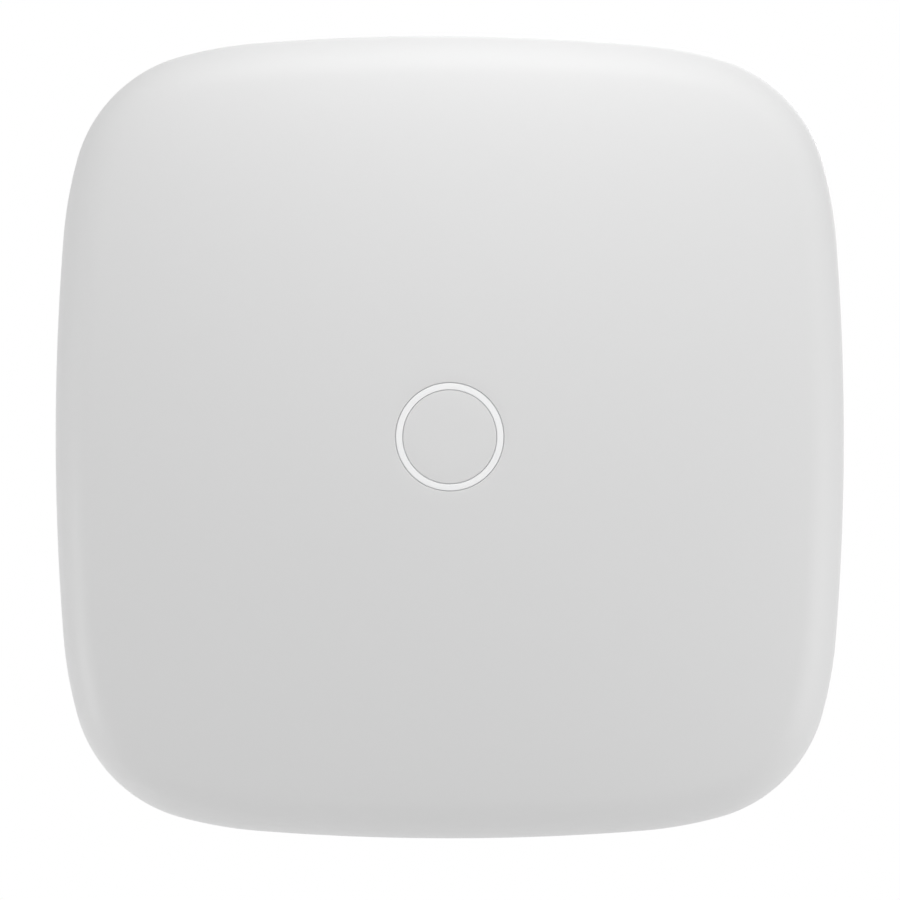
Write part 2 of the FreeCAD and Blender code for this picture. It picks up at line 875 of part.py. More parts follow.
def battery_pad():
    return block(battery_left+pad_margin, battery_left+battery_width-pad_margin,
                 battery_low+pad_margin, battery_low+battery_height-pad_margin,
                 plate_top, plate_top+pad_thickness)


# A flat lead runs straight between bends of one radius, in a plane square to its width
def ribbon(points, width, thickness, bend):
    corners = [Vector(*p) for p in points]
    span = (corners[1]-corners[0]).cross(corners[2]-corners[1]).normalize()
    sides = []
    for shift in (thickness/2, -thickness/2):
        side = []
        for number, corner in enumerate(corners):
            before = corner-corners[max(number-1, 0)]
            after = corners[min(number+1, len(corners)-1)]-corner
            normals = [span.cross(run).normalize() for run in (before, after) if run.Length > 0]
            turn = normals[0].dot(normals[-1])
            side.append(corner+(normals[0]+normals[-1])*(shift/(1+turn)))
        sides.append(side)
    loop = sides[0]+sides[1][::-1]
    solid = Part.Face(Part.makePolygon(loop+loop[:1])).extrude(span*width)
    solid.translate(span*(-width/2))
    inner = [e for e in solid.Edges if abs(abs(e.tangentAt(0).dot(span))-1) < 1e-6
             and min((e.CenterOfMass-corner).Length for corner in corners[1:-1]) < thickness]
    return solid.makeFillet(bend, inner)


def battery_header():
    return centred(header_x, header_y, header_width, header_length, header_low, board_level)


def battery_lead():
    start = battery_left+battery_width
    level = plate_top+pad_thickness+battery_thickness/2-lead_drop
    return ribbon([(start, header_y, level), (header_x, header_y, level), (header_x, header_y, header_low)],
                  lead_width, lead_thickness, lead_bend)


# Parts on the mains board

def transformer():
    x, y, core, step = transformer_x, transformer_y, transformer_core, transformer_step
    foot = board_level-transformer_base
    return joined([centred(x, y, core, core, parts_low+transformer_top_gap, board_level-transformer_core_gap),
                   centred(x, y, core-2*step, transformer_winding, parts_low+step, foot),
                   centred(x, y, core-step, core+step, foot, board_level)])


def capacitors(places):
    return Part.makeCompound([stud(x, y, can_radius, parts_low, board_level, can_sides) for x, y in places])


def fuse():
    axis = board_level-fuse_radius-fuse_lift
    body = rod_up(fuse_x, axis, fuse_radius, fuse_y-fuse_length/2, fuse_y+fuse_length/2)
    feet = [centred(fuse_x, fuse_y+side*fuse_length/3, fuse_foot_width, fuse_foot_length, axis, board_level)
            for side in (-1, 1)]
    return joined([body]+feet)


def choke():
    low = board_level-choke_foot-choke_height
    ring = stud(choke_x, choke_y, choke_radius, low, low+choke_height, can_sides)
    ring = ring.cut(stud(choke_x, choke_y, choke_bore, low, low+choke_height, can_sides))
    foot = centred(choke_x, choke_y, choke_foot_width, choke_foot_width, low+choke_height, board_level)
    return joined([ring, foot])


def rectifier():
    return centred(rectifier_x, rectifier_y, rectifier_width, rectifier_height,
                   board_level-rectifier_thickness, board_level)


# Insulating film on the back plate under the mains parts, and a divider between the two boards
def mains_insulator():
    left = input_can_places[0][0]-can_radius-film_side
    far = output_can_places[0][0]+can_radius+film_side
    low = choke_y-choke_radius-film_margin
    high = output_can_places[0][1]+can_radius+film_margin
    return block(left, far, low, high, plate_top, plate_top+film_thickness)


def board_divider():
    middle = (mains_right+main_left)/2
    return block(middle-film_thickness/2, middle+film_thickness/2, board_bottom+divider_low_gap,
                 mains_top-divider_high_gap, plate_top, board_top+link_socket_height)


# Sheet-metal cans and antennas on the front of the main board

def shield(x, y, width, depth, height):
    can = centred(x, y, width, depth, board_top, board_top+height)
    inside = centred(x, y, width-2*can_sheet, depth-2*can_sheet, board_top-past, board_top+height-can_sheet)
    return can.cut(inside)


def radio_antenna(x):
    high = board_top+antenna_height
    edge = main_top-antenna_foot
    left, far = x-antenna_width/2, x+antenna_width/2
    foot = block(left, far, edge-antenna_foot, edge, board_top, board_top+antenna_sheet)
    blade = block(left, far, edge-antenna_sheet, edge, board_top, high)
    arm = block(left, far, edge-antenna_foot, edge, high-antenna_sheet, high)
    return joined([foot, blade, arm])


def link_socket(x):
    return centred(x, link_y, link_socket_width, link_socket_depth, board_top, board_top+link_socket_height)


def dc_harness():
    low = board_top+link_socket_height
    left, far = link_x
    points = [(left, link_y, low), (left, link_y, low+link_rise),
              (far, link_y, low+link_rise), (far, link_y, low)]
    return ribbon(points, link_width, lead_thickness, lead_bend)


def build():
    pieces["front_cover"] = front_cover()
    pieces["light_ring_lens"] = light_ring_lens()
    pieces["face_disc"] = face_disc()
    pieces["light_baffle"] = light_baffle()
    pieces["status_leds"] = status_leds()
    pieces["mounting_bracket"] = mounting_bracket()
    pieces["bracket_hooks"] = bracket_hooks()
    pieces["rear_housing"] = rear_housing()
    pieces["case_screws"] = case_screws()
    pieces["main_board"] = board(main_outline, main_screw_places)
    pieces["main_board_screws"] = board_screws(main_screw_places)
    pieces["mains_board"] = board(mains_outline, mains_screw_places)
    pieces["mains_board_screws"] = board_screws(mains_screw_places)
    pieces["mains_inlet"] = mains_inlet()
    pieces["inlet_pins"] = inlet_pins()
    pieces["lan_jack_shell"] = lan_jack_shell()
    pieces["lan_jack_insert"] = lan_jack_insert()
    pieces["lan_jack_contacts"] = lan_jack_contacts()
    pieces["sim_holder_base"], pieces["sim_holder_shell"] = sim_holder()
    pieces["cable_clamp"] = cable_clamp()
    pieces["clamp_screws"] = clamp_screws()
    pieces["power_button_cap"] = power_button_cap()
    pieces["power_switch"] = power_switch()
    pieces["power_switch_actuator"] = power_switch_actuator()
    pieces["tamper_plunger"] = tamper_plunger()
    pieces["tamper_spring"] = tamper_spring()
    pieces["tamper_switch"] = tamper_switch()
    pieces["battery_cell"] = battery_cell()
    pieces["battery_pad"] = battery_pad()
    pieces["battery_header"] = battery_header()
    pieces["battery_lead"] = battery_lead()
    pieces["transformer"] = transformer()
    pieces["input_capacitors"] = capacitors(input_can_places)
    pieces["output_capacitors"] = capacitors(output_can_places)
    pieces["fuse"] = fuse()
    pieces["choke"] = choke()
    pieces["rectifier"] = rectifier()
    pieces["mains_insulator"] = mains_insulator()
    pieces["board_divider"] = board_divider()
    pieces["modem_shield"] = shield(modem_x, modem_y, modem_size, modem_size, modem_height)
    pieces["radio_shield"] = shield(radio_x, radio_y, radio_size, radio_size, radio_height)
    pieces["processor"] = centred(processor_x, processor_y, processor_size, processor_size,
                                  board_top, board_top+processor_thickness)
    pieces["lan_magnetics"] = centred(lan_x, magnetics_y, magnetics_length, magnetics_width,
                                      board_top, board_top+magnetics_height)
    pieces["radio_antenna_left"] = radio_antenna(antenna_places[0])
    pieces["radio_antenna_right"] = radio_antenna(antenna_places[1])
    pieces["mains_side_header"] = link_socket(link_x[0])
    pieces["main_side_header"] = link_socket(link_x[1])
    pieces["dc_harness"] = dc_harness()


build()
os.makedirs("parts", exist_ok=True)
for name, shape in pieces.items():
    shape.rotate(Vector(), right, 90)
    shape.exportStep("parts/"+name+".step")
    print(name, "valid" if shape.isValid() else "NOT VALID", len(shape.Solids), round(shape.Volume/1000, 3))
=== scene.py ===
import math

import bmesh
import bpy
import numpy as np
from mathutils import Matrix


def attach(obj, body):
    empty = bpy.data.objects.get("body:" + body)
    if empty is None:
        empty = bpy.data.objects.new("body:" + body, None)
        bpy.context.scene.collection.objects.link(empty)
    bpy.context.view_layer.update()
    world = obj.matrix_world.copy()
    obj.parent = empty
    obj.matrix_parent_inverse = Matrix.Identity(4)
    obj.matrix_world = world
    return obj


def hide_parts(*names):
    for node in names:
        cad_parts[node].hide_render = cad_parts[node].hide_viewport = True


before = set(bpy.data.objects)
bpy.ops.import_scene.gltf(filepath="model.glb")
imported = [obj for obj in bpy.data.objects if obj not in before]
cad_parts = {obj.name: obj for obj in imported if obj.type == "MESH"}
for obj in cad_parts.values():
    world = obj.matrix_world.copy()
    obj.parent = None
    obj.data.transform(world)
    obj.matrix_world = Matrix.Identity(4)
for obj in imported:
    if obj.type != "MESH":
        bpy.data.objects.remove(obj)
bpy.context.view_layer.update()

# Alarm control panel: a softly domed white hub on its wall bracket, seen straight from the front.
# The pieces' lengths are millimetres, drawn lying down: x right, y up the wall, z out from the wall.
# Finishes, floor, lamps and camera are in the scene's own metres.

tau = 2*math.pi
print("frame loaded:", len(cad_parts), "nodes")


# Meshes from numpy grids

joinWithin = dict(grid=2e-7, mould=8e-5, sliver=1e-8)  # metres


def toWorld(points):  # millimetres lying down to metres on the wall: (x, y, z) becomes (x, -z, y)
    points = np.asarray(points, float)
    return np.stack([points[..., 0], -points[..., 2], points[..., 1]], -1)*0.001


def gridQuads(rows, columns, start, closeRows):
    # one quad per cell, with the last column joined to the first, and the last row too where rows close
    row = np.arange(rows if closeRows else rows-1)[:, None]
    column = np.arange(columns)[None, :]
    nextRow, nextColumn = (row+1) % rows, (column+1) % columns
    corners = [row*columns+column, row*columns+nextColumn, nextRow*columns+nextColumn, nextRow*columns+column]
    return start+np.stack([np.broadcast_to(k, (row.size, column.size)) for k in corners], -1).reshape(-1, 4)


def merged(mesh, within):  # the mesh for editing, with near points made one and slivers gone
    work = bmesh.new()
    work.from_mesh(mesh)
    bmesh.ops.remove_doubles(work, verts=work.verts, dist=within)
    bmesh.ops.dissolve_degenerate(work, edges=work.edges, dist=joinWithin["sliver"])
    return work


def added(name, data):
    holder = bpy.data.objects.new(name, data)
    bpy.context.scene.collection.objects.link(holder)
    return holder


def placed(name, mesh, body, finish, replaced, sharp):
    # a finished piece: smooth up to the sharp angle, with its finish, its body and what it stands in for
    mesh.shade_smooth()
    mesh.set_sharp_from_angle(angle=math.radians(sharp))
    mesh.materials.clear()
    mesh.materials.append(finish)
    piece = added(name, mesh)
    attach(piece, body)
    if replaced:
        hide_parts(*replaced)
    return piece


def surfacePiece(name, grids, body, finish, replaced=(), closeRows=False, sharp=40.0):
    # several grids of points (rows, columns, xyz) become one mesh object, with poles merged and faces outward
    points, quads, count = [], [], 0
    for grid in grids:
        rows, columns = grid.shape[:2]
        points.append(toWorld(grid).reshape(-1, 3))
        quads.append(gridQuads(rows, columns, count, closeRows))
        count += rows*columns
    mesh = bpy.data.meshes.new(name)
    mesh.from_pydata(np.concatenate(points).tolist(), [], np.concatenate(quads).tolist())
    work = merged(mesh, joinWithin["grid"])
    bmesh.ops.recalc_face_normals(work, faces=work.faces)
    work.to_mesh(mesh)
    work.free()
    return placed(name, mesh, body, finish, replaced, sharp)


def section(*parts):  # the points of a section: single ones and arcs of them, in order
    return np.concatenate([np.reshape(part, (-1, 2)) for part in parts])


def quarter(centre, radius, first, last, steps=4):
    # points of an arc in a section, between two angles in degrees: centre + radius*(cos, sin)
    turn = np.radians(np.linspace(first, last, steps))
    return np.stack([centre[0]+radius*np.cos(turn), centre[1]+radius*np.sin(turn)], -1)


def turned(profile, x, y, sides):
    # a section of (radius, level) pairs turned about an axis that stands on the wall at x, y
    profile = np.asarray(profile, float)
    turn = np.linspace(0, tau, sides, endpoint=False)
    ring = np.stack([np.cos(turn), np.sin(turn)], -1)
    flat = profile[:, None, 0, None]*ring[None]+np.array([x, y])
    return np.concatenate([flat, np.broadcast_to(profile[:, None, 1, None], flat.shape[:2]+(1,))], -1)


def inQuarters(x, y):  # the same place in each quarter of the panel
    return [(side*x, end*y) for side in (-1, 1) for end in (-1, 1)]


# Shader maths: a wire is one output, and arithmetic on it adds Math nodes

class Wire:
    def __init__(self, paint, out):
        self.paint, self.out = paint, out

    def join(self, operation, first, second):
        return self.paint.wire("ShaderNodeMath", {"operation": operation}, {0: first, 1: second})

    def __add__(self, other): return self.join("ADD", self, other)
    def __radd__(self, other): return self.join("ADD", other, self)
    def __sub__(self, other): return self.join("SUBTRACT", self, other)
    def __rsub__(self, other): return self.join("SUBTRACT", other, self)
    def __mul__(self, other): return self.join("MULTIPLY", self, other)
    def __rmul__(self, other): return self.join("MULTIPLY", other, self)
    def __pow__(self, other): return self.join("POWER", self, other)
    def __rpow__(self, other): return self.join("POWER", other, self)
    def most(self, other): return self.join("MAXIMUM", self, other)
    def above(self, other): return self.join("GREATER_THAN", self, other)


class Paint:
    def __init__(self, owner, kind="Material"):  # the nodes of a material, or of the world
        self.owner = owner
        owner.use_nodes = True
        self.tree = owner.node_tree
        self.tree.nodes.clear()
        self.output = self.node("ShaderNodeOutput"+kind)
        if kind == "Material":
            self.place = self.wire("ShaderNodeTexCoord", out="Object")

    def node(self, kind, settings=None, sockets=None):  # settings first, then values or links of its sockets
        made = self.tree.nodes.new(kind)
        for key, value in (settings or {}).items():
            if key == "stops":  # a ramp's two stops, as pairs of position and grey level
                for element, (position, level) in zip(made.color_ramp.elements, value):
                    element.position = position
                    element.color = (level, level, level, 1)
            else:
                setattr(made, key, value)
        for key, value in (sockets or {}).items():
            if isinstance(value, Wire):
                self.tree.links.new(value.out, made.inputs[key])
            else:
                made.inputs[key].default_value = value
        return made

    def wire(self, kind, settings=None, sockets=None, out=0):
        return Wire(self, self.node(kind, settings, sockets).outputs[out])

    def noise(self, scale, detail, rough=0.5, place=None):
        sockets = {"Vector": place or self.place, "Scale": scale, "Detail": detail, "Roughness": rough}
        return self.wire("ShaderNodeTexNoise", None, sockets)

    def stretched(self, scale):  # the object's place, scaled along each axis
        return self.wire("ShaderNodeMapping", None, {"Vector": self.place, "Scale": scale})

    def axes(self):
        split = self.node("ShaderNodeSeparateXYZ", None, {0: self.place})
        return [Wire(self, out) for out in split.outputs]

    def ramp(self, value, stops):
        return self.wire("ShaderNodeValToRGB", {"stops": stops}, {0: value})

    def blend(self, factor, first, second):  # two colours, or wires that carry them, in the colour sockets
        pair = [c if isinstance(c, Wire) else (*c, 1) for c in (first, second)]
        return self.wire("ShaderNodeMix", {"data_type": "RGBA"}, {0: factor, 6: pair[0], 7: pair[1]}, 2)

    def bump(self, height, distance):
        return self.wire("ShaderNodeBump", None, {"Height": height, "Distance": distance, "Strength": 1.0})

    def between(self, factor, first, second):  # two shader nodes
        mixed = self.node("ShaderNodeMixShader", None, {0: factor})
        self.tree.links.new(first.outputs[0], mixed.inputs[1])
        self.tree.links.new(second.outputs[0], mixed.inputs[2])
        return mixed

    def send(self, shader):
        self.tree.links.new(shader.outputs[0], self.output.inputs[0])
        return self.owner

    def close(self, sockets):
        return self.send(self.node("ShaderNodeBsdfPrincipled", None, sockets))


def newPaint(name):
    return Paint(bpy.data.materials.new(name))


def shade(colour, factor):
    return tuple(min(1.0, c*factor) for c in colour)


# Moulded plastic. Scales are repeats a metre, and depths are metres.

caseLook = dict(colour=(0.80, 0.80, 0.80), driftScale=14.0, driftTone=0.006, driftRough=0.8,
                grainScale=2600.0, grainDepth=9e-6, grainShare=0.65, pitScale=0.37, pitShare=0.35,
                speck=0.10, speckFrom=0.66, speckTone=0.93, roughness=0.46, roughVaries=0.10, ior=1.5,
                specular=0.5)
mouldings = {  # where each one differs from the case
    "caseWhite": dict(),
    "faceWhite": dict(colour=(0.805, 0.805, 0.805), driftScale=20.0),
    "trayWhite": dict(colour=(0.76, 0.765, 0.76), driftScale=30.0, driftTone=0.02, grainScale=1500.0,
                      grainDepth=2.2e-5, roughness=0.55, speck=0.18),
    "housingWhite": dict(colour=(0.74, 0.745, 0.74), driftTone=0.02, grainScale=1800.0, grainDepth=1.6e-5,
                         roughness=0.5, speck=0.15),
    "connectorBlack": dict(colour=(0.025, 0.025, 0.028), driftScale=120.0, driftTone=0.12, grainScale=4200.0,
                           grainDepth=1.2e-5, roughness=0.38, roughVaries=0.16, speck=0.5),
    "buttonGrey": dict(colour=(0.34, 0.35, 0.36), driftScale=160.0, driftTone=0.05, grainScale=3800.0,
                       roughness=0.4),
    "headerCream": dict(colour=(0.72, 0.69, 0.60), driftScale=200.0, driftTone=0.04, grainScale=4000.0,
                        roughness=0.42),
}


def mouldedPlastic(name, look):
    # spark-eroded mould texture, a slow drift of tone, and handling polish where the drift is high
    paint = newPaint(name)
    drift = paint.noise(look["driftScale"], detail=3)
    grain = paint.noise(look["grainScale"], detail=3, rough=0.6)
    pits = paint.noise(look["grainScale"]*look["pitScale"], detail=2)
    low, high = shade(look["colour"], 1-look["driftTone"]), shade(look["colour"], 1+look["driftTone"])
    speck = grain.above(look["speckFrom"])*look["speck"]
    colour = paint.blend(speck, paint.blend(drift, low, high), shade(look["colour"], look["speckTone"]))
    varies = look["roughVaries"]
    rough = look["roughness"]+(grain-0.5)*varies+(0.5-drift)*varies*look["driftRough"]
    normal = paint.bump(grain*look["grainShare"]+pits*look["pitShare"], look["grainDepth"])
    return paint.close({"Base Color": colour, "Roughness": rough, "Normal": normal, "IOR": look["ior"],
                        "Specular IOR Level": look["specular"]})


finishes = {name: mouldedPlastic(name, dict(caseLook, **own)) for name, own in mouldings.items()}


# The light ring's resin

lensLook = dict(cloudScale=180.0, rippleScale=900.0, rippleDepth=4e-6, thin=(0.90, 0.905, 0.91),
                deep=(0.95, 0.95, 0.945), coolGlow=(0.92, 0.95, 1.0), whiteGlow=(1.0, 1.0, 1.0), glow=0.09,
                roughness=0.2, roughVaries=0.1, ior=1.49)


def milkyLens(name, look):
    # clear resin filled with white: deeper in places, polished, with a faint glow of the light behind it
    paint = newPaint(name)
    cloud = paint.noise(look["cloudScale"], detail=4, rough=0.6)
    ripple = paint.noise(look["rippleScale"], detail=2)
    return paint.close({"Base Color": paint.blend(cloud, look["thin"], look["deep"]),
                        "Roughness": look["roughness"]+cloud*look["roughVaries"],
                        "Normal": paint.bump(ripple, look["rippleDepth"]),
                        "Emission Color": paint.blend(cloud, look["coolGlow"], look["whiteGlow"]),
                        "Emission Strength": look["glow"], "IOR": look["ior"]})


finishes["milkyLens"] = milkyLens("milkyLens", lensLook)


# Metals

steelLook = dict(colour=(0.66, 0.66, 0.65), stain=0.12, stainScale=160.0, stainRough=0.08, lineScale=900.0,
                 stretch=(1.0, 6.0, 1.0), lineFrom=0.62, lineShare=0.35, lineTone=0.8, lineRough=0.22,
                 lineMean=0.4, roughness=0.26, depth=5e-6)
metals = {  # where each one differs from the steel
    "platedSteel": dict(),
    "tinnedShield": dict(colour=(0.74, 0.74, 0.72), stretch=(7.0, 1.0, 1.0), roughness=0.32),
    "platedBrass": dict(colour=(0.80, 0.63, 0.32), stainScale=400.0, roughness=0.22),
    "springWire": dict(colour=(0.58, 0.57, 0.55), roughness=0.2),
}


def metal(name, look):
    # drawn or plated metal: long fine scratches along one axis, stains, and duller high spots
    paint = newPaint(name)
    lines = paint.noise(look["lineScale"], detail=3, rough=0.6, place=paint.stretched(look["stretch"]))
    stain = paint.noise(look["stainScale"], detail=4, rough=0.6)
    colour = paint.blend(stain, shade(look["colour"], 1-look["stain"]), look["colour"])
    scratch = lines.above(look["lineFrom"])*look["lineShare"]
    colour = paint.blend(scratch, colour, shade(look["colour"], look["lineTone"]))
    rough = look["roughness"]+(lines-look["lineMean"])*look["lineRough"]+stain*look["stainRough"]
    return paint.close({"Base Color": colour, "Metallic": 1.0, "Roughness": rough,
                        "Normal": paint.bump(lines, look["depth"])})


finishes.update({name: metal(name, dict(steelLook, **own)) for name, own in metals.items()})


# Circuit boards

boardLook = dict(colour=(0.018, 0.13, 0.055), gold=(0.62, 0.52, 0.28), cellScale=260.0, cellOffset=0.5,
                 wall=0.09, wallSoft=0.2, cellWidth=0.9, cellHeight=0.35, trackScale=55.0, trackFrom=0.47,
                 trackShare=0.75, trackTone=1.9, trackRise=0.7, viaScale=210.0, viaRadius=0.13, padScale=70.0,
                 padFrom=0.5, padMetal=0.9, padRise=0.5, padRough=0.06, dustScale=240.0, dustShare=0.25,
                 dustTone=0.75, dustRough=0.14, roughness=0.28, depth=3.5e-5, coat=0.3)


def circuitBoard(name, look):
    # solder resist over copper: tracks show as slightly raised, paler runs that turn at cell walls
    paint = newPaint(name)
    cells = paint.wire("ShaderNodeTexBrick", {"offset": look["cellOffset"]}, {
        "Vector": paint.place, "Scale": look["cellScale"], "Mortar Size": look["wall"],
        "Mortar Smooth": look["wallSoft"], "Brick Width": look["cellWidth"],
        "Row Height": look["cellHeight"]}, "Fac")
    tracks = cells*paint.noise(look["trackScale"], detail=2).above(look["trackFrom"])
    dust = paint.noise(look["dustScale"], detail=4, rough=0.7)
    vias = paint.wire("ShaderNodeTexVoronoi", {"feature": "F1"},
                      {"Vector": paint.place, "Scale": look["viaScale"]})
    pads = (1-vias.above(look["viaRadius"]))*paint.noise(look["padScale"], detail=1).above(look["padFrom"])
    tone = paint.blend(tracks*look["trackShare"], look["colour"], shade(look["colour"], look["trackTone"]))
    tone = paint.blend(pads, tone, look["gold"])
    tone = paint.blend(dust*look["dustShare"], tone, shade(look["colour"], look["dustTone"]))
    rough = look["roughness"]+dust*look["dustRough"]-pads*look["padRough"]
    normal = paint.bump(tracks*look["trackRise"]+pads*look["padRise"], look["depth"])
    return paint.close({"Base Color": tone, "Roughness": rough, "Metallic": pads*look["padMetal"],
                        "Normal": normal, "Coat Weight": look["coat"]})


finishes["solderResist"] = circuitBoard("solderResist", boardLook)


# Foil, foam, tape, sleeving, film and resin

# second is the lighter tone painted on the crease ridges: a painted highlight, with painted shade left in the
# hollows
foilLook = dict(colour=(0.42, 0.44, 0.47), second=(0.56, 0.58, 0.60), scale=90.0, hollow=0.35, ridge=0.68,
                fineScale=9, roughness=0.3, fineRough=0.12, creaseRough=0.1, creaseShare=0.8, fineShare=0.2,
                depth=1.6e-4, coat=0.2)
wrappings = {  # where each one differs from the foil
    "batteryFoil": dict(),
    "cellFoam": dict(colour=(0.02, 0.02, 0.021), second=(0.05, 0.05, 0.052), scale=900.0, roughness=0.85,
                     depth=2.5e-4, coat=0.0),
    "leadRed": dict(colour=(0.42, 0.02, 0.015), second=(0.52, 0.035, 0.025), scale=300.0, roughness=0.42,
                    depth=3e-5, coat=0.0),
    "ferriteTape": dict(colour=(0.035, 0.035, 0.04), second=(0.09, 0.085, 0.07), scale=260.0, roughness=0.4,
                        depth=6e-5, coat=0.0),
    "canSleeve": dict(colour=(0.02, 0.035, 0.12), second=(0.03, 0.05, 0.17), scale=180.0, depth=3e-5,
                      coat=0.3),
    "copperWinding": dict(colour=(0.38, 0.13, 0.045), second=(0.60, 0.24, 0.09), scale=700.0, roughness=0.28,
                          depth=9e-5, coat=0.5),
    "insulatingFilm": dict(colour=(0.62, 0.62, 0.58), second=(0.72, 0.72, 0.68), scale=60.0, roughness=0.34,
                           depth=5e-5, coat=0.0),
    "ledResin": dict(colour=(0.86, 0.83, 0.62), second=(0.92, 0.90, 0.78), scale=900.0, roughness=0.2,
                     depth=1e-5, coat=0.4),
    "chipEpoxy": dict(colour=(0.018, 0.018, 0.02), second=(0.032, 0.032, 0.034), scale=1600.0,
                      roughness=0.55, depth=2e-5, coat=0.0),
}


def wrapped(name, look):
    # soft creases with fine grain on them; the ridges are painted a lighter second tone as a painted
    # highlight, and the hollows stay darker as painted shade
    paint = newPaint(name)
    crease = paint.noise(look["scale"], detail=5, rough=0.65)
    fine = paint.noise(look["scale"]*look["fineScale"], detail=2)
    # where the crease ridges are painted lighter: painted highlight on the ridges, painted shade in the
    # hollows
    ridgeHighlight = paint.ramp(crease, [(look["hollow"], 0.0), (look["ridge"], 1.0)])
    rough = look["roughness"]+(fine-0.5)*look["fineRough"]+(crease-0.5)*look["creaseRough"]
    normal = paint.bump(crease*look["creaseShare"]+fine*look["fineShare"], look["depth"])
    return paint.close({"Base Color": paint.blend(ridgeHighlight, look["colour"], look["second"]),
                        "Roughness": rough, "Normal": normal, "Coat Weight": look["coat"]})


finishes.update({name: wrapped(name, dict(foilLook, **own)) for name, own in wrappings.items()})
print("finishes made:", len(bpy.data.materials))


# Front cover

cover = dict(width=162.955, height=165.955, depth=36.0, back=4.3, wall=2.5,
             cornerRadius=30.3, blendRadius=86.0, flankTurn=4.5, blendTurn=15.5, arcStep=2.2, turnStep=1.9,
             shoulderRadius=10.0, crownRadius=130.0, crownReach=28.0, draft=6.0,
             holeRadius=11.15, holeEdge=0.18, rimEdge=0.35,
             outletHalf=20.0, outletTop=12.0, outletCorner=0.8)
coverRows = dict(hole=4, face=21, crown=13, shoulder=17, skirt=8,
                 innerSkirt=5, innerShoulder=9, innerCrown=5, innerFace=7)


def outlineArcs(width, height):
    # sixteen tangent arcs: centre, radius and the turns where each one starts. The side and top radii are
    # those for which the arcs' steps across and along add up to half the width and half the height.
    flank, blendTurn = math.radians(cover["flankTurn"]), math.radians(cover["blendTurn"])
    big, small = cover["blendRadius"], cover["cornerRadius"]
    fixed = big*(math.cos(flank)-math.cos(blendTurn)+math.sin(blendTurn)-math.sin(flank))
    fixed += small*(math.cos(blendTurn)-math.sin(blendTurn))
    across, along = width/2-fixed, height/2-fixed
    bulge, rise = 1-math.cos(flank), math.sin(flank)
    side = (across*bulge-along*rise)/(bulge*bulge-rise*rise)
    top = (along*bulge-across*rise)/(bulge*bulge-rise*rise)
    radii = np.array([side, big, small, big, top, big, small, big]*2)
    marks = np.array([q*math.pi/2+t for q in range(4)
                      for t in (-flank, flank, blendTurn, math.pi/2-blendTurn)]+[tau-flank])
    steps = (radii-np.roll(radii, -1))[:-1, None]*np.stack([np.cos(marks[1:-1]), np.sin(marks[1:-1])], -1)
    centres = np.array([width/2-side, 0.0])+np.concatenate([np.zeros((1, 2)), np.cumsum(steps, 0)])
    return centres, radii, marks


arcCentres, arcRadii, arcMarks = outlineArcs(cover["width"], cover["height"])


def outlineAt(turn):
    # the outline's point whose outward normal has this turn, centre + radius*normal, and that normal
    arc = np.clip(np.searchsorted(arcMarks, turn, "right")-1, 0, len(arcRadii)-1)
    normal = np.stack([np.cos(turn), np.sin(turn)], -1)
    return arcCentres[arc]+arcRadii[arc, None]*normal, normal


def coverTurns():
    # turns at even steps in each arc, closer in the corners, with extra ones at the cable outlet's sides
    turns = []
    for radius, first, last in zip(arcRadii, arcMarks, arcMarks[1:]):
        sweep = last-first
        steps = max(radius*sweep/cover["arcStep"], math.degrees(sweep)/cover["turnStep"])
        turns.append(np.linspace(first, last, math.ceil(steps), endpoint=False))
    corner, bottomRadius = cover["outletCorner"], arcRadii[12]  # the thirteenth arc is the bottom one
    within = np.array([-0.3, -0.005, 0.005, corner*0.13, corner*0.5, corner])  # from each side of the outlet
    offset = np.arcsin((cover["outletHalf"]-within)/bottomRadius)
    return np.unique(np.concatenate(turns+[1.5*math.pi-offset, 1.5*math.pi+offset]))


def rimLevel(edge):
    # the back's level all round, but top - corner + corner*sqrt(1 - dip^2) over the cable outlet's width,
    # where dip grows from 0 to 1 across each rounded corner
    level = np.full(len(edge), cover["back"])
    x, below = np.abs(edge[:, 0]), edge[:, 1] < 0
    half, corner = cover["outletHalf"], cover["outletCorner"]
    inside = below & (x < half)
    dip = np.clip((x-(half-corner))/corner, 0, 1)
    level[inside] = (cover["outletTop"]-corner+corner*np.sqrt(1-dip**2))[inside]
    return level


def stepsTo(first, last, rows):  # even steps that leave out the first value
    return np.linspace(first, last, coverRows[rows]+1)[1:]


